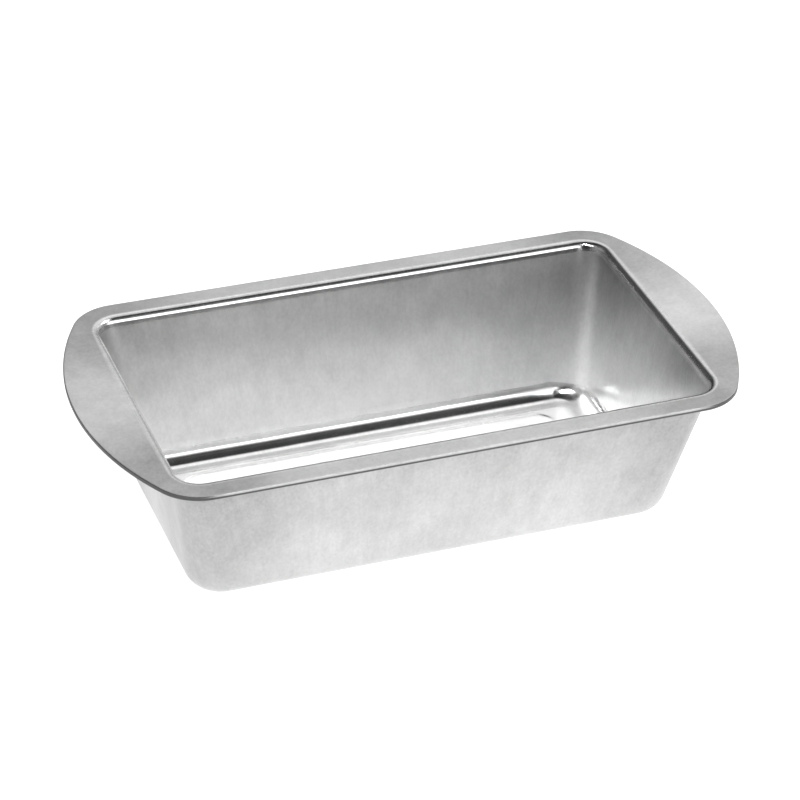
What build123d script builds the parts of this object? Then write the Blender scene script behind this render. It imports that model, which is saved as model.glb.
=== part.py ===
from build123d import *
from math import atan, atan2, cos, degrees, sqrt
import os

# A seamless loaf pan drawn from one blank of sheet metal, millimetres.
# Origin: centre of the floor panel's underside, which the pan stands on. +Z up, X along the loaf.

SHEET = 0.8  # metal thickness
DEPTH = 69.9  # from the underside of the floor's border to the top of the brim

# Outer faces of the four walls, where they would meet the top plane and the floor's plane
MOUTH_HALF_LENGTH = 116.0
MOUTH_HALF_WIDTH = 65.3
MOUTH_CORNER = 10.4
BASE_HALF_LENGTH = 105.2
BASE_HALF_WIDTH = 50.3
BASE_CORNER = 16.2

FLOOR_RADIUS = 10.6  # outer radius between floor and walls
BRIM_RADIUS = 3.2  # top surface radius where the wall turns out into the brim

# Brim: straight along the sides, and a crescent lug at each end
BRIM_HALF_WIDTH = 75.4
BRIM_HALF_LENGTH = 141.1  # at the tips of the lugs
LUG_RADIUS = 129.0
LUG_CORNER = 21.5

# Edge of the brim, folded under on itself
HEM_HEIGHT = 2.4
HEM_WIDTH = 4.2
HEM_TOP_RADIUS = 0.5
HEM_LOWER_RADIUS = 1.0

# Panel stamped down in the floor, so that the pan stands on it
PANEL_HALF_LENGTH = 85.4
PANEL_HALF_WIDTH = 39.2
PANEL_CORNER = 9.0
PANEL_DROP = 0.5

END_DRAFT = atan((MOUTH_HALF_LENGTH - BASE_HALF_LENGTH) / DEPTH)
SIDE_DRAFT = atan((MOUTH_HALF_WIDTH - BASE_HALF_WIDTH) / DEPTH)


def rounded_rectangle(half_length, half_width, corner, z):
    return Plane.XY.offset(z) * RectangleRounded(2 * half_length, 2 * half_width, corner)


def wall_section(z, inset):
    """Horizontal section of the walls, taken inset below the outer faces."""
    share = z / DEPTH
    half_length = BASE_HALF_LENGTH + share * (MOUTH_HALF_LENGTH - BASE_HALF_LENGTH)
    half_width = BASE_HALF_WIDTH + share * (MOUTH_HALF_WIDTH - BASE_HALF_WIDTH)
    corner = BASE_CORNER + share * (MOUTH_CORNER - BASE_CORNER)
    return rounded_rectangle(
        half_length - inset / cos(END_DRAFT),
        half_width - inset / cos(SIDE_DRAFT),
        corner - inset,
        z,
    )


def tapered_block(low, high, inset):
    """Solid between two wall sections, rounded where it meets the floor."""
    block = loft([wall_section(low, inset), wall_section(high, inset)], ruled=True)
    floor_edges = block.edges().group_by(Axis.Z)[0]
    return fillet(floor_edges, FLOOR_RADIUS - inset)


def brim_outline(inset):
    """Outer edge of the brim moved in by inset: two sides, two crescents, four corners."""
    centre_x = BRIM_HALF_LENGTH - LUG_RADIUS
    corner_y = BRIM_HALF_WIDTH - LUG_CORNER
    corner_x = centre_x + sqrt((LUG_RADIUS - LUG_CORNER) ** 2 - corner_y**2)
    lug_angle = degrees(atan2(corner_y, corner_x - centre_x))
    side_y = BRIM_HALF_WIDTH - inset
    lug_radius = LUG_RADIUS - inset
    corner_radius = LUG_CORNER - inset
    edge = Line((-corner_x, side_y), (corner_x, side_y))
    edge += Line((-corner_x, -side_y), (corner_x, -side_y))
    edge += CenterArc((centre_x, 0), lug_radius, -lug_angle, 2 * lug_angle)
    edge += CenterArc((-centre_x, 0), lug_radius, 180 - lug_angle, 2 * lug_angle)
    edge += CenterArc((corner_x, corner_y), corner_radius, lug_angle, 90 - lug_angle)
    edge += CenterArc((-corner_x, corner_y), corner_radius, 90, 90 - lug_angle)
    edge += CenterArc((-corner_x, -corner_y), corner_radius, 180 + lug_angle, 90 - lug_angle)
    edge += CenterArc((corner_x, -corner_y), corner_radius, 270, 90 - lug_angle)
    return make_face(edge)


def brim_slab(inset, low, high):
    return extrude(Pos(0, 0, low) * brim_outline(inset), amount=high - low)


def hemmed_brim():
    """Flat brim with its edge folded under: a rounded rim, a gap and a lower leaf."""
    low = DEPTH - HEM_HEIGHT
    brim = brim_slab(0, low, DEPTH)
    brim = fillet(brim.edges().group_by(Axis.Z)[0], HEM_LOWER_RADIUS)
    brim = fillet(brim.edges().group_by(Axis.Z)[-1], HEM_TOP_RADIUS)
    brim -= brim_slab(HEM_WIDTH, low, DEPTH - SHEET)
    brim -= brim_slab(SHEET + 0.3, low + SHEET, DEPTH - SHEET)
    return brim


def floor_panel(z):
    """Shallow panel with sloping sides, reaching down from height z."""
    lip = rounded_rectangle(
        PANEL_HALF_LENGTH + PANEL_DROP, PANEL_HALF_WIDTH + PANEL_DROP, PANEL_CORNER + PANEL_DROP, z
    )
    flat = rounded_rectangle(PANEL_HALF_LENGTH, PANEL_HALF_WIDTH, PANEL_CORNER, z - PANEL_DROP)
    return loft([flat, lip], ruled=True)


def mouth_edges(shape, z):
    """Edges at height z that run around the mouth, inside the brim's own edge."""
    found = []
    for edge in shape.edges():
        box = edge.bounding_box()
        level = abs(box.min.Z - z) < 0.01 and abs(box.max.Z - z) < 0.01
        near_x = box.max.X < MOUTH_HALF_LENGTH + 0.01 and box.min.X > -MOUTH_HALF_LENGTH - 0.01
        near_y = box.max.Y < MOUTH_HALF_WIDTH + 0.01 and box.min.Y > -MOUTH_HALF_WIDTH - 0.01
        if level and near_x and near_y:
            found.append(edge)
    return found


def pan_body():
    body = tapered_block(0, DEPTH - SHEET / 2, 0) + hemmed_brim()
    body = fillet(mouth_edges(body, DEPTH - SHEET), BRIM_RADIUS - SHEET)
    body -= tapered_block(SHEET, DEPTH + 2, SHEET)
    body = fillet(mouth_edges(body, DEPTH), BRIM_RADIUS)
    body += floor_panel(0)
    body -= floor_panel(SHEET)
    return Pos(0, 0, PANEL_DROP) * body


os.makedirs("parts", exist_ok=True)
export_step(pan_body(), "parts/pan_body.step")
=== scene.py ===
import bpy
import math
import numpy as np
from mathutils import Matrix, Vector


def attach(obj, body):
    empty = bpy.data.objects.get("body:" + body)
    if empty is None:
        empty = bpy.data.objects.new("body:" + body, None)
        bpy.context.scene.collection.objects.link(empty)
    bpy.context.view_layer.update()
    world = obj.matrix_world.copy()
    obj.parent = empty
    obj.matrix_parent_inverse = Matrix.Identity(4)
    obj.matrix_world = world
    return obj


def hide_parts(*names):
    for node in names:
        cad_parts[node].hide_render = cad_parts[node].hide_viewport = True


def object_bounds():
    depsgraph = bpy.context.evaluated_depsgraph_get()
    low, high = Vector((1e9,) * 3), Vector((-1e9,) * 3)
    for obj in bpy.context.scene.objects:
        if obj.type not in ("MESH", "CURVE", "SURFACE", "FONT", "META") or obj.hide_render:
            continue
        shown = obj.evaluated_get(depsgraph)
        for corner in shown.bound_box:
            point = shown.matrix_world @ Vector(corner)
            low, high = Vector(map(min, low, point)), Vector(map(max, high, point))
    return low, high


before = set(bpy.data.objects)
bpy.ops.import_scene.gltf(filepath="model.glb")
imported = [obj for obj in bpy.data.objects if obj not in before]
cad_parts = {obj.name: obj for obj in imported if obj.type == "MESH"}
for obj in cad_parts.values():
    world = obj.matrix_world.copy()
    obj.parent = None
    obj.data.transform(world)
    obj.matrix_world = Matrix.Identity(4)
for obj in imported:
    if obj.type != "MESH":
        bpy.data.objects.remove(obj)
CAD_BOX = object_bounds()

# The pan, in millimetres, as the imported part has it
SHEET = 0.8
DEPTH = 69.9
PANEL_DROP = 0.5  # the floor's border stands this high, on the panel pressed down in it
MOUTH = (116.0, 65.3, 10.4)  # half length, half width and corner radius at the top plane
BASE = (105.2, 50.3, 16.2)  # the same at the floor's plane
FLOOR_RADIUS = 10.6
BRIM_RADIUS = 3.2
BRIM_HALF_WIDTH = 75.4
BRIM_HALF_LENGTH = 141.1
LUG_RADIUS = 129.0
LUG_CORNER = 21.5
HEM_HEIGHT = 2.4
HEM_WIDTH = 4.2
HEM_TOP_RADIUS = 0.5
HEM_LOWER_RADIUS = 1.0
HEM_EASE = 0.15  # bevel on the lower leaf's cut edge
PANEL = (85.4, 39.2, 9.0)  # the floor panel's half length, half width and corner radius
PANEL_SLOPE = 1.5  # width of the soft step around the panel

# What varies over the sheet: burnished smooth, streaked by drawing, painted light and shade in the tone,
# painted shade for the shadow under and along the fold, and the outer face of the fold, which gets more
# painted shade at the lugs
FINISH_AND_PAINTED_LIGHT = ("polish", "draw", "bright", "tarnish", "fold")

# Tone and roughness of the metal
MEAN_TONE = 0.48
PAINTED_LIGHT_GAIN = 0.46  # what the painted light adds to the tone, as painted shade where it is below 0
PAINTED_SHADE_TONE = 0.08  # share of the tone that is left under full painted shade
SATIN = 0.34
BURNISHED = 0.08

# The fold's outer face gets painted shade between these distances from the pan's middle, in metres
LUG_DARK_FROM = 0.098
LUG_DARK_TO = 0.113
LUG_DARK = 0.9

# Mesh density of one quarter of the outline: end, corner, side
END_STEPS = 20
CORNER_STEPS = 16
SIDE_STEPS = 26

# Mesh density across the sheet's flat stretches
WALL_STEPS = 26
BRIM_STEPS = 12
UNDER_BRIM_STEPS = 8
FOLD_STEPS = 4

MM = 0.001


# ---------------------------------------------------------------- outline of the pan, first quarter


def quarter_angles():
    """Direction each sample of the first quarter faces, from +X round to +Y."""
    corner = np.linspace(0, math.pi / 2, CORNER_STEPS + 1)
    return np.concatenate([np.zeros(END_STEPS), corner, np.full(SIDE_STEPS, math.pi / 2)])


def quarter_shares():
    """How far along its straight side each sample is: 0 at the axis, 1 at the corner."""
    end = np.arange(END_STEPS) / END_STEPS
    side = 1 - np.arange(1, SIDE_STEPS + 1) / SIDE_STEPS
    return np.concatenate([end, np.ones(CORNER_STEPS + 1), side])


ANGLE = quarter_angles()
SHARE = quarter_shares()
OUTWARD = np.c_[np.cos(ANGLE), np.sin(ANGLE)]
ON_END = ANGLE < 1e-9
ON_SIDE = ANGLE > math.pi / 2 - 1e-9


def rounded_rectangle(half_length, half_width, corner):
    """First quarter of a rounded rectangle; the sizes may differ from sample to sample."""
    straight_x = half_length - corner
    straight_y = half_width - corner
    x = straight_x * np.where(ON_SIDE, SHARE, 1.0) + corner * OUTWARD[:, 0]
    y = straight_y * np.where(ON_END, SHARE, 1.0) + corner * OUTWARD[:, 1]
    return np.c_[x, y]


def taper(index):
    return (MOUTH[index] - BASE[index]) / DEPTH


SLOPE = (taper(0) - taper(2)) * OUTWARD[:, 0] + (taper(1) - taper(2)) * OUTWARD[:, 1] + taper(2)
DRAFT = np.arctan(SLOPE)
WALL_NORMAL = np.c_[OUTWARD * np.cos(DRAFT)[:, None], -np.sin(DRAFT)]


def wall_points(z):
    """Outer face of the walls at height z, which may differ from sample to sample."""
    z = np.broadcast_to(np.asarray(z, float), ANGLE.shape)
    sizes = [BASE[i] + z * taper(i) for i in range(3)]
    return np.c_[rounded_rectangle(*sizes), z]


def brim_outline(inset, z):
    """Edge of the brim moved in by inset: side, rounded corner, crescent lug."""
    centre_x = BRIM_HALF_LENGTH - LUG_RADIUS
    corner_y = BRIM_HALF_WIDTH - LUG_CORNER
    corner_x = centre_x + math.sqrt((LUG_RADIUS - LUG_CORNER) ** 2 - corner_y**2)
    lug_angle = math.atan2(corner_y, corner_x - centre_x)
    turn = lug_angle + (math.pi / 2 - lug_angle) * ANGLE / (math.pi / 2)
    lug = SHARE * lug_angle
    x = np.where(ON_SIDE, corner_x * SHARE, corner_x + (LUG_CORNER - inset) * np.cos(turn))
    y = np.where(ON_SIDE, BRIM_HALF_WIDTH - inset, corner_y + (LUG_CORNER - inset) * np.sin(turn))
    x = np.where(ON_END, centre_x + (LUG_RADIUS - inset) * np.cos(lug), x)
    y = np.where(ON_END, (LUG_RADIUS - inset) * np.sin(lug), y)
    return np.c_[x, y, np.full(len(x), z)]


def floor_ring(sizes, grow, z):
    ring = rounded_rectangle(sizes[0] + grow, sizes[1] + grow, sizes[2] + grow)
    return np.c_[ring, np.full(len(ring), z)]


def smooth(t):
    t = np.clip(t, 0, 1)
    return t * t * (3 - 2 * t)


def near_corner():
    """1 round the corners, fading to 0 along the ends and along the last stretch of the sides."""
    on_end = smooth((SHARE - 0.1) / 0.7)
    on_side = smooth((SHARE - 0.6) / 0.4)
    return np.where(ON_END, on_end, np.where(ON_SIDE, on_side, 1.0))


# Where a column of the skin stands: at a corner's middle, anywhere near a corner, on an end
PLACES = {"corner": np.sin(2 * ANGLE) ** 2, "round": near_corner(), "end": np.cos(ANGLE) ** 2}


# ---------------------------------------------------------------- rows of the skin, inside to outside


def panel_step(z):
    """Rows down the soft step at the edge of the stamped floor panel."""
    rows = []
    for t in np.linspace(0, 1, 9):
        grow = PANEL_SLOPE * (t - 0.5) + PANEL_DROP / 2
        rows.append(floor_ring(PANEL, grow, z - PANEL_DROP * (1 - smooth(t))))
    return rows


FLOOR_CENTRE = wall_points(FLOOR_RADIUS * (1 - np.sin(DRAFT))) - FLOOR_RADIUS * WALL_NORMAL
BEND_INNER = BRIM_RADIUS - SHEET
BEND_CENTRE = wall_points(DEPTH - BRIM_RADIUS + BEND_INNER * np.sin(DRAFT)) + BEND_INNER * WALL_NORMAL


def floor_fillet(radius, steps=16):
    """Rows from the flat floor up round the fillet to the foot of the wall."""
    rows = []
    for t in np.linspace(0, 1, steps + 1):
        turn = t * (math.pi / 2 - DRAFT)
        reach = np.c_[OUTWARD * np.sin(turn)[:, None], -np.cos(turn)]
        rows.append(FLOOR_CENTRE + radius * reach)
    return rows


def brim_bend(radius, steps=14):
    """Rows from the top of the wall round the bend to the flat brim."""
    rows = []
    for t in np.linspace(1, 0, steps + 1):
        turn = t * (math.pi / 2 - DRAFT)
        reach = np.c_[-OUTWARD * np.sin(turn)[:, None], np.cos(turn)]
        rows.append(BEND_CENTRE + radius * reach)
    return rows


def between(first, last, steps):
    """Rows strictly between two rows."""
    return [first + (last - first) * k / steps for k in range(1, steps)]


def hem_rows():
    """Rows over the top edge, round the lower edge, and along the lower leaf and back out of the gap."""
    half = HEM_HEIGHT / 2
    bottom = DEPTH - HEM_HEIGHT
    gap_radius = half - SHEET
    top_edge, lower_edge, leaf = [], [], []
    for turn in np.linspace(0, math.pi / 2, 8):
        inset = HEM_TOP_RADIUS * (1 - math.sin(turn))
        top_edge.append(brim_outline(inset, DEPTH - HEM_TOP_RADIUS * (1 - math.cos(turn))))
    for turn in np.linspace(math.pi / 2, math.pi, 10):
        inset = HEM_LOWER_RADIUS * (1 - math.sin(turn))
        lower_edge.append(brim_outline(inset, bottom + HEM_LOWER_RADIUS * (1 + math.cos(turn))))
    leaf_edge = (
        (HEM_WIDTH - HEM_EASE, 0.0),
        (HEM_WIDTH, HEM_EASE),
        (HEM_WIDTH, SHEET - HEM_EASE),
        (HEM_WIDTH - HEM_EASE, SHEET),
    )
    for inset, rise in leaf_edge:
        leaf.append(brim_outline(inset, bottom + rise))
    for turn in np.linspace(math.pi, 0, 7):
        inset = half - gap_radius * math.sin(turn)
        leaf.append(brim_outline(inset, DEPTH - half + gap_radius * math.cos(turn)))
    leaf.append(brim_outline(HEM_WIDTH, DEPTH - SHEET))
    return top_edge, lower_edge, leaf


def skin_rows():
    """All rows of the skin, each with its finish and its painted light and shade: for every column, a value
    for each attribute name listed at the top.

    A finish may change from a first to a last value over the rows, and a name with _corner after it, for one,
    is what that value gains at the corners, as with the painted light.
    """
    rows = []

    def add(new, **finish):
        def value(name, share):
            return np.interp(share, (0, 1), np.broadcast_to(finish.get(name, 0.0), 2))

        for k, row in enumerate(new):
            share = k / max(1, len(new) - 1)
            table = np.empty((len(row), len(FINISH_AND_PAINTED_LIGHT)))
            for column, name in enumerate(FINISH_AND_PAINTED_LIGHT):
                table[:, column] = value(name, share)
                for place, amount in PLACES.items():
                    table[:, column] += amount * value(name + "_" + place, share)
            rows.append((row, table))

    inner_fillet = floor_fillet(FLOOR_RADIUS - SHEET)
    inner_bend = brim_bend(BRIM_RADIUS)
    top_edge, lower_edge, leaf = hem_rows()
    outer_bend = brim_bend(BEND_INNER)
    outer_fillet = floor_fillet(FLOOR_RADIUS)

    # Inside: floor, fillet burnished most at its middle, drawn wall and the bend into the brim. Painted light
    # makes the floor and fillet light; on the wall it is lighter at the foot and fades upwards, with a
    # painted highlight down the corners' middles and painted shade towards the top round the corners and on
    # the ends
    add(panel_step(SHEET), polish=0.55, bright=1.0)
    add(inner_fillet[:4], polish=0.55, bright=1.0)
    add(inner_fillet[4:8], polish=(0.6, 0.9), polish_corner=(0.0, -0.3), bright=1.0)
    add(inner_fillet[8:12], polish=0.9, polish_corner=-0.3, bright=1.0)
    add(inner_fillet[12:], polish=(0.7, 0.15), bright=1.0)
    add(
        between(inner_fillet[-1], inner_bend[0], WALL_STEPS),
        draw=(0.7, 1.0),
        bright=(0.8, 0.1),
        bright_corner=0.2,
        bright_round=(0.0, -0.3),
        bright_end=(0.1, -0.4),
    )
    add(inner_bend, polish=0.75, polish_end=-0.4, bright=(0.1, 0.2))

    # Brim, with painted shade towards its corners and lug tips; the fold's outer face, with painted shade
    # growing downwards; and the hidden faces under it, painted dark as shade
    add(between(inner_bend[-1], top_edge[0], BRIM_STEPS), draw=0.15, bright=0.15, bright_round=-0.5)
    add(top_edge[:3], bright=0.15, bright_round=-0.5)
    add(top_edge[3:], tarnish=(0.35, 0.2), fold=1.0)
    add(between(top_edge[-1], lower_edge[0], FOLD_STEPS), tarnish=(0.1, 0.95), fold=1.0)
    add(lower_edge, tarnish=1.0, fold=1.0)
    add(leaf, tarnish=1.0)
    add(between(leaf[-1], outer_bend[-1], UNDER_BRIM_STEPS), tarnish=(0.8, 0.5))

    # Outside: bend, drawn wall, fillet and underside; painted shade darkens the wall's top under the brim and
    # round the corners, and painted light lightens the wall's foot, the fillet and the underside
    add(outer_bend[::-1], draw=0.5)
    add(
        between(outer_bend[0], outer_fillet[-1], WALL_STEPS),
        draw=(1.0, 0.7),
        bright=(-0.2, 0.15),
        bright_round=-0.25,
    )
    add(outer_fillet[::-1], draw=(0.7, 0.0), bright=0.15, bright_round=-0.2)
    add(panel_step(0.0)[::-1], polish=0.3, bright=0.4)
    return rows


# ---------------------------------------------------------------- mesh


def full_ring(quarter):
    """Closed ring from its first quarter."""
    second = (quarter * (-1, 1, 1))[::-1][1:]
    third = (quarter * (-1, -1, 1))[1:]
    fourth = (quarter * (1, -1, 1))[::-1][1:-1]
    return np.vstack([quarter, second, third, fourth])


def full_table(quarter):
    """Values all round a ring, from those of its first quarter."""
    return np.vstack([quarter, quarter[::-1][1:], quarter[1:], quarter[::-1][1:-1]])


def patch_sides(count):
    """Ring indices along the four sides of a flat patch, split at the middle of each corner."""
    quarter = count // 4
    start = END_STEPS + CORNER_STEPS // 2
    corner = [start, 2 * quarter - start, 2 * quarter + start, 4 * quarter - start]
    top = list(range(corner[0], corner[1] + 1))
    left = list(range(corner[1], corner[2] + 1))
    bottom = list(range(corner[2], corner[3] + 1))
    right = [k % count for k in range(corner[3], corner[0] + count + 1)]
    return top, left, bottom, right


def fill_patch(verts, faces, ring_start, count, flip):
    """Fills a flat ring with a grid of quads, blended from its four sides."""
    top, left, bottom, right = patch_sides(count)
    columns, rows = len(top) - 1, len(left) - 1
    index = {}

    def point(k):
        return verts[ring_start + k]

    for i in range(columns + 1):
        for j in range(rows + 1):
            if j == 0:
                index[i, j] = ring_start + top[i]
            elif j == rows:
                index[i, j] = ring_start + bottom[columns - i]
            elif i == 0:
                index[i, j] = ring_start + right[rows - j]
            elif i == columns:
                index[i, j] = ring_start + left[j]
            else:
                u, v = i / columns, j / rows
                across = (1 - v) * point(top[i]) + v * point(bottom[columns - i])
                along = (1 - u) * point(right[rows - j]) + u * point(left[j])
                corners = (
                    (1 - u) * (1 - v) * point(top[0])
                    + u * (1 - v) * point(top[-1])
                    + (1 - u) * v * point(bottom[-1])
                    + u * v * point(bottom[0])
                )
                index[i, j] = len(verts)
                verts.append(across + along - corners)
    for i in range(columns):
        for j in range(rows):
            quad = (index[i, j], index[i + 1, j], index[i + 1, j + 1], index[i, j + 1])
            faces.append(quad[::-1] if flip else quad)


def mouth_columns(verts, rings):
    """Points moved out to where their column meets the mouth: streaks follow the columns down the walls."""
    mouth = full_ring(wall_points(DEPTH))[:, :2]
    column = np.array(verts)
    column[: len(rings) * len(mouth), :2] = np.tile(mouth, (len(rings), 1))
    return column


def ring_directions(verts, rings):
    """Direction along the ring at each point, in which the draw lines spread the light."""
    along = np.tile((1.0, 0.0, 0.0), (len(verts), 1))
    for r, ring in enumerate(rings):
        step = np.roll(ring, -1, axis=0) - np.roll(ring, 1, axis=0)
        along[r * len(ring) : (r + 1) * len(ring)] = step / np.linalg.norm(step, axis=1)[:, None]
    return along


def add_layer(mesh, name, values):
    """Stores one number or one vector for each point of the mesh."""
    kind, field = ("FLOAT", "value") if values.ndim == 1 else ("FLOAT_VECTOR", "vector")
    layer = mesh.attributes.new(name, kind, "POINT")
    layer.data.foreach_set(field, values.astype(np.float32).ravel())


def pan_mesh():
    """The skin as one closed mesh, in metres, with its finish and its painted light and shade stored point by
    point.
    """
    rows = skin_rows()
    rings = [full_ring(row) for row, _ in rows]
    count = len(rings[0])
    verts = [point for ring in rings for point in ring]
    finish = [value for _, table in rows for value in full_table(table)]
    faces = []
    for r in range(len(rings) - 1):
        low, high = r * count, (r + 1) * count
        for k in range(count):
            n = (k + 1) % count
            faces.append((low + k, high + k, high + n, low + n))
    fill_patch(verts, faces, 0, count, False)
    finish += [rows[0][1][0]] * (len(verts) - len(finish))
    fill_patch(verts, faces, (len(rings) - 1) * count, count, True)
    finish += [rows[-1][1][0]] * (len(verts) - len(finish))
    mesh = bpy.data.meshes.new("pan_skin")
    lift = np.array((0.0, 0.0, PANEL_DROP))
    mesh.from_pydata([tuple((point + lift) * MM) for point in verts], [], faces)
    mesh.validate()
    finish = np.array(finish)
    for k, name in enumerate(FINISH_AND_PAINTED_LIGHT):
        add_layer(mesh, name, finish[:, k])
    add_layer(mesh, "column", mouth_columns(verts, rings) * MM)
    add_layer(mesh, "along", ring_directions(verts, rings))
    mesh.polygons.foreach_set("use_smooth", [True] * len(mesh.polygons))
    mesh.update()
    return mesh


# ---------------------------------------------------------------- material helpers


class Nodes:
    """Short calls for building a node tree."""

    def __init__(self, tree):
        self.tree = tree
        tree.nodes.clear()

    def add(self, kind, **settings):
        node = self.tree.nodes.new(kind)
        for name, value in settings.items():
            setattr(node, name, value)
        return node

    def link(self, source, target):
        self.tree.links.new(source, target)

    def feed(self, socket, value):
        if hasattr(value, "links"):
            self.link(value, socket)
        else:
            socket.default_value = value

    def math(self, operation, first, second=0.0, third=0.0, clamp=False):
        node = self.add("ShaderNodeMath", operation=operation, use_clamp=clamp)
        self.feed(node.inputs[0], first)
        self.feed(node.inputs[1], second)
        self.feed(node.inputs[2], third)
        return node.outputs[0]

    def noise(self, vector, scale, detail=2.0, rough=0.5, stretch=(1, 1, 1), shift=(0, 0, 0)):
        """Noise from 0 to 1 at the vector, which is first stretched and shifted."""
        mapping = self.add("ShaderNodeMapping")
        mapping.inputs["Scale"].default_value = stretch
        mapping.inputs["Location"].default_value = shift
        self.link(vector, mapping.inputs["Vector"])
        node = self.add("ShaderNodeTexNoise")
        node.inputs["Scale"].default_value = scale
        node.inputs["Detail"].default_value = detail
        node.inputs["Roughness"].default_value = rough
        self.link(mapping.outputs[0], node.inputs["Vector"])
        return node.outputs["Fac"]

    def ramp(self, value, low, high, to_low, to_high, shape="SMOOTHSTEP"):
        """Carries low..high over to to_low..to_high, and holds the ends beyond."""
        node = self.add("ShaderNodeMapRange", interpolation_type=shape, clamp=True)
        self.feed(node.inputs["Value"], value)
        self.feed(node.inputs["From Min"], low)
        self.feed(node.inputs["From Max"], high)
        self.feed(node.inputs["To Min"], to_low)
        self.feed(node.inputs["To Max"], to_high)
        return node.outputs["Result"]

    def blend(self, share, first, last):
        """First where the share is 0, last where it is 1, in proportion between."""
        return self.ramp(share, 0.0, 1.0, first, last, "LINEAR")

    def vary(self, base, pattern, amount):
        """The base moved up and down by a pattern that runs from 0 to 1."""
        return self.math("MULTIPLY_ADD", self.math("SUBTRACT", pattern, 0.5), amount, base)

    def grey(self, value):
        node = self.add("ShaderNodeCombineColor")
        for socket in node.inputs[:3]:
            self.feed(socket, value)
        return node.outputs[0]


def drawn_metal():
    """Bare drawn sheet: satin, clouded, streaked down the walls, burnished where the polish is high."""
    mat = bpy.data.materials.new("drawn_metal")
    mat.use_nodes = True
    n = Nodes(mat.node_tree)
    out = n.add("ShaderNodeOutputMaterial")
    shader = n.add("ShaderNodeBsdfPrincipled")
    shader.inputs["Anisotropic"].default_value = 0.75
    shader.inputs["Coat IOR"].default_value = 2.0
    shader.inputs["Coat Roughness"].default_value = 0.55
    n.link(shader.outputs[0], out.inputs["Surface"])
    place = n.add("ShaderNodeTexCoord").outputs["Object"]
    column = n.add("ShaderNodeAttribute", attribute_name="column").outputs["Vector"]
    along = n.add("ShaderNodeAttribute", attribute_name="along").outputs["Vector"]
    n.link(along, shader.inputs["Tangent"])
    finish = [n.add("ShaderNodeAttribute", attribute_name=name).outputs["Fac"] for name in FINISH_AND_PAINTED_LIGHT]
    polish, draw, bright, tarnish, fold = finish

    # Patterns from coarse to fine over the whole sheet, and upright streaks where the sheet was drawn
    cloud = n.noise(place, scale=26, detail=3, rough=0.55, stretch=(1, 1, 1.2), shift=(0.3, 0.1, 0.0))
    mottle = n.noise(place, scale=150, detail=4, rough=0.6, stretch=(1, 1, 0.7), shift=(0.0, 0.7, 0.2))
    speckle = n.noise(place, scale=800, detail=2, rough=0.6, stretch=(1, 1, 0.7), shift=(0.2, 0.3, 0.6))
    grain = n.noise(place, scale=2600, detail=2, rough=0.6, stretch=(1, 1, 0.6), shift=(0.5, 0.0, 0.1))
    fine = n.noise(column, scale=700, detail=3, rough=0.6, stretch=(1, 1, 0.03), shift=(0.1, 0.2, 0.5))
    broad = n.noise(column, scale=110, detail=2, rough=0.5, stretch=(1, 1, 0.12), shift=(0.7, 0.4, 0.0))
    fine = n.math("MULTIPLY", n.math("SUBTRACT", fine, 0.5), draw)
    broad = n.math("MULTIPLY", n.math("SUBTRACT", broad, 0.5), draw)

    # How light the metal is: mean tone, plus clouds, spots, streaks and grain, plus the painted light and
    # shade of each zone
    tone = n.vary(MEAN_TONE, cloud, 0.20)
    tone = n.vary(tone, mottle, 0.20)
    tone = n.vary(tone, speckle, 0.18)
    tone = n.math("MULTIPLY_ADD", broad, 0.08, tone)
    tone = n.math("MULTIPLY_ADD", fine, 0.08, tone)
    tone = n.vary(tone, grain, 0.05)
    tone = n.math("MULTIPLY_ADD", bright, PAINTED_LIGHT_GAIN, tone)

    # Painted shade, standing in for the shadow and dark reflections under and along the fold: under the brim
    # everywhere and down the fold's outer face, more there at the lugs, the tone drops and the metal turns
    # dull and unmetallic
    split = n.add("ShaderNodeSeparateXYZ")
    n.link(place, split.inputs[0])
    at_lug = n.ramp(n.math("ABSOLUTE", split.outputs[0]), LUG_DARK_FROM, LUG_DARK_TO, 0.0, LUG_DARK)
    dark = n.math("MULTIPLY_ADD", fold, at_lug, tarnish)
    tone = n.math("MULTIPLY", tone, n.blend(dark, 1.0, PAINTED_SHADE_TONE))
    n.link(n.blend(dark, 1.0, 0.0), shader.inputs["Metallic"])
    n.link(n.grey(tone), shader.inputs["Base Color"])

    # A wide faint haze over the unpolished metal, on top of its sharper sheen
    unpolished = n.ramp(polish, 0.0, 0.5, 1.0, 0.0, "LINEAR")
    n.link(n.math("SUBTRACT", unpolished, dark, clamp=True), shader.inputs["Coat Weight"])
    rough = n.vary(n.blend(polish, SATIN, BURNISHED), cloud, 0.04)
    n.link(n.vary(rough, mottle, 0.03), shader.inputs["Roughness"])

    # Fine relief on top of a slow waviness of the sheet, both fainter where the metal is polished
    height = n.math("MULTIPLY_ADD", fine, 0.35, broad)
    height = n.math("MULTIPLY_ADD", grain, 0.15, height)
    height = n.math("MULTIPLY_ADD", mottle, 0.9, height)
    relief = n.blend(polish, 1.0, 0.10)
    wave = n.add("ShaderNodeBump")
    wave.inputs["Distance"].default_value = 0.001
    n.link(n.noise(place, scale=34, detail=1, rough=0.4, shift=(0.6, 0.2, 0.0)), wave.inputs["Height"])
    n.link(relief, wave.inputs["Strength"])
    bump = n.add("ShaderNodeBump")
    bump.inputs["Distance"].default_value = 0.00006
    n.link(relief, bump.inputs["Strength"])
    n.link(height, bump.inputs["Height"])
    n.link(wave.outputs[0], bump.inputs["Normal"])
    n.link(bump.outputs[0], shader.inputs["Normal"])
    return mat


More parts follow.
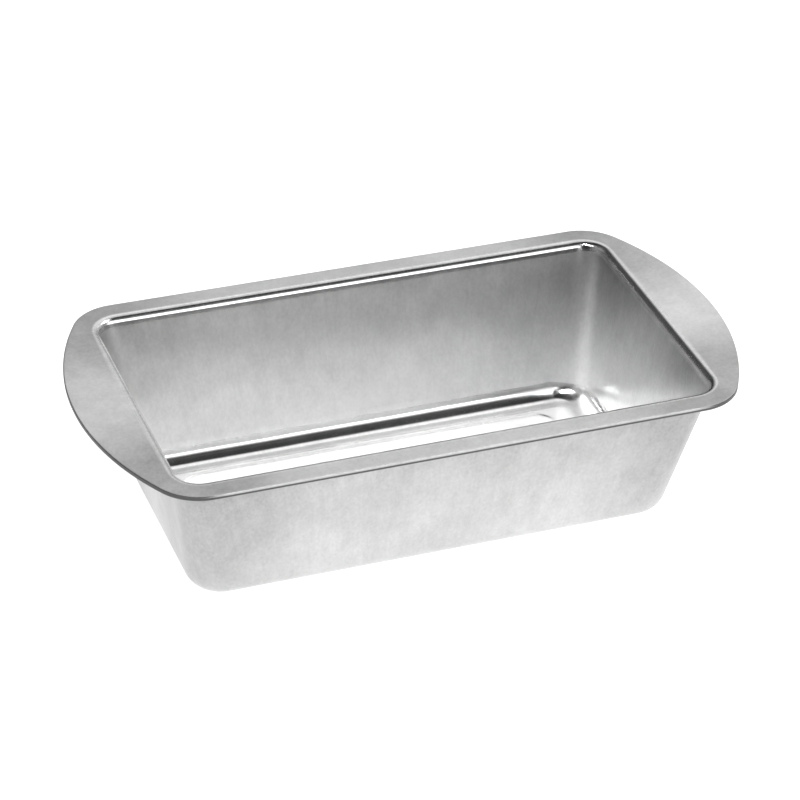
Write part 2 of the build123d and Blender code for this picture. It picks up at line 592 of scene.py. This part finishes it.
def floor_material():
    """Pale paper that gives off light of its own, so that it stays white round the pan."""
    mat = bpy.data.materials.new("studio_floor")
    mat.use_nodes = True
    n = Nodes(mat.node_tree)
    out = n.add("ShaderNodeOutputMaterial")
    shader = n.add("ShaderNodeBsdfPrincipled")
    shader.inputs["Roughness"].default_value = 0.9
    shader.inputs["Specular IOR Level"].default_value = 0.1
    n.link(shader.outputs[0], out.inputs["Surface"])
    place = n.add("ShaderNodeTexCoord").outputs["Object"]
    paper = n.noise(place, scale=3)
    n.link(n.grey(n.math("MULTIPLY_ADD", paper, 0.02, 0.20)), shader.inputs["Base Color"])
    shader.inputs["Emission Color"].default_value = (1.0, 1.0, 1.0, 1.0)
    shader.inputs["Emission Strength"].default_value = 0.95
    return mat


# ---------------------------------------------------------------- pan


def make_pan():
    """The whole pan as one skin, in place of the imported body."""
    pan = bpy.data.objects.new("pan_skin", pan_mesh())
    bpy.context.scene.collection.objects.link(pan)
    pan.data.materials.append(drawn_metal())
    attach(pan, "root")
    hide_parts("pan_body")
    return pan


# ---------------------------------------------------------------- studio


def make_floor():
    """Large flat sheet of pale paper, a hair below the pan."""
    reach, steps, gap = 6.0, 24, 0.0002
    marks = np.linspace(-reach, reach, steps + 1)
    verts = [(x, y, CAD_BOX[0][2] - gap) for y in marks for x in marks]
    faces = []
    for j in range(steps):
        for i in range(steps):
            k = j * (steps + 1) + i
            faces.append((k, k + 1, k + steps + 2, k + steps + 1))
    mesh = bpy.data.meshes.new("studio_floor")
    mesh.from_pydata(verts, [], faces)
    floor = bpy.data.objects.new("studio_floor", mesh)
    bpy.context.scene.collection.objects.link(floor)
    mesh.materials.append(floor_material())
    return floor


def area_light(name, place, aim, width, height, radiance):
    """Rectangular light that neither the camera nor the metal sees."""
    data = bpy.data.lights.new(name, "AREA")
    data.shape = "RECTANGLE"
    data.size = width
    data.size_y = height
    data.energy = radiance * math.pi * width * height
    light = bpy.data.objects.new(name, data)
    bpy.context.scene.collection.objects.link(light)
    back = (Vector(place) - Vector(aim)).normalized()
    light.matrix_world = Matrix.Translation(place) @ back.to_track_quat("Z", "Y").to_matrix().to_4x4()
    light.visible_camera = False
    light.visible_glossy = False
    return light


class Sky:
    """Soft-edged glowing panels standing round the pan, in a dim room."""

    def __init__(self, n, dim):
        self.n = n
        split = n.add("ShaderNodeSeparateXYZ")
        n.link(n.add("ShaderNodeTexCoord").outputs["Generated"], split.inputs[0])
        self.x, self.y, self.z = split.outputs
        level = n.math("SUBTRACT", 1.0, n.math("MULTIPLY", self.z, self.z))
        self.flat = n.math("SQRT", n.math("MAXIMUM", level, 0.0001))
        self.light = dim

    def panel(self, azimuth, half_width, low, high, level, soft=10):
        """Adds a panel: its middle's azimuth from +X towards +Y, its reach to either side, its two
        elevations and the width of its soft edge, all in degrees, and its brightness."""
        n = self.n
        turn = math.radians(azimuth)
        along = n.math("MULTIPLY", self.x, math.cos(turn))
        along = n.math("MULTIPLY_ADD", self.y, math.sin(turn), along)
        along = n.math("DIVIDE", along, self.flat)
        edge = [math.cos(math.radians(half_width + k * soft)) for k in (1, 0)]
        part = n.ramp(along, edge[0], edge[1], 0.0, level)
        sines = [math.sin(math.radians(a)) for a in (low - soft, low, high, min(high + soft, 90))]
        part = n.math("MULTIPLY", part, n.ramp(self.z, sines[0], sines[1], 0.0, 1.0))
        part = n.math("MULTIPLY", part, n.ramp(self.z, sines[2], sines[3], 1.0, 0.0))
        self.light = n.math("ADD", part, self.light)


def make_world():
    world = bpy.data.worlds.new("studio")
    bpy.context.scene.world = world
    world.use_nodes = True
    n = Nodes(world.node_tree)
    out = n.add("ShaderNodeOutputWorld")
    back = n.add("ShaderNodeBackground")
    n.link(back.outputs[0], out.inputs["Surface"])
    sky = Sky(n, dim=0.03)
    # Azimuth, half width, low and high elevation, brightness, soft edge
    sky.panel(60, 20, 28, 50, 0.5, 20)  # behind the pan: the tone of the brim
    sky.panel(45, 25, 56, 80, 1.0, 40)  # overhead
    sky.panel(35, 30, 2, 28, 0.3)  # faint and low, behind right
    sky.panel(0, 30, 8, 30, 0.35, 16)  # faint and low, off both ends: the brim seen from the ends
    sky.panel(180, 30, 8, 30, 0.35, 16)
    sky.panel(-62, 14, 3, 22, 3.4, 26)  # low, right of the camera: the light line at the back wall's foot
    sky.panel(-8, 14, 36, 52, 6.0, 6)  # from the right: the streaks down the corners, the lugs
    sky.panel(-112, 3, 51, 57, 145.0, 3)  # small and strong, above the camera: the white floor
    sky.panel(-140, 3, 40, 48, 46.0, 3)  # small and strong, left of it: the end wall's lit foot
    n.link(n.grey(sky.light), back.inputs["Color"])


def make_lights():
    area_light("floor_fill", (0.0, 0.2, 3.0), (0.0, 0.0, 0.0), 3.0, 3.0, 1.5)


def make_camera():
    """Long lens, to the pan's front left, looking down."""
    around, above, tilt = math.radians(21.03), math.radians(32.67), math.radians(-1.81)
    distance = 1.4031
    aim = Vector((0.00751, 0.0207, 0.0338))
    back = Vector((-math.sin(around) * math.cos(above), -math.cos(around) * math.cos(above), math.sin(above)))
    right = Vector((0, 0, 1)).cross(back).normalized()
    up = back.cross(right)
    leaned_right = right * math.cos(tilt) - up * math.sin(tilt)
    leaned_up = right * math.sin(tilt) + up * math.cos(tilt)
    data = bpy.data.cameras.new("camera")
    data.sensor_width = 36.0
    data.lens = 147.49
    camera = bpy.data.objects.new("camera", data)
    bpy.context.scene.collection.objects.link(camera)
    turn = Matrix((leaned_right, leaned_up, back)).transposed().to_4x4()
    camera.matrix_world = Matrix.Translation(aim + back * distance) @ turn
    bpy.context.scene.camera = camera


make_camera()
make_pan()
make_floor()
make_world()
make_lights()
bpy.context.scene.view_settings.view_transform = "Standard"

bpy.context.view_layer.update()
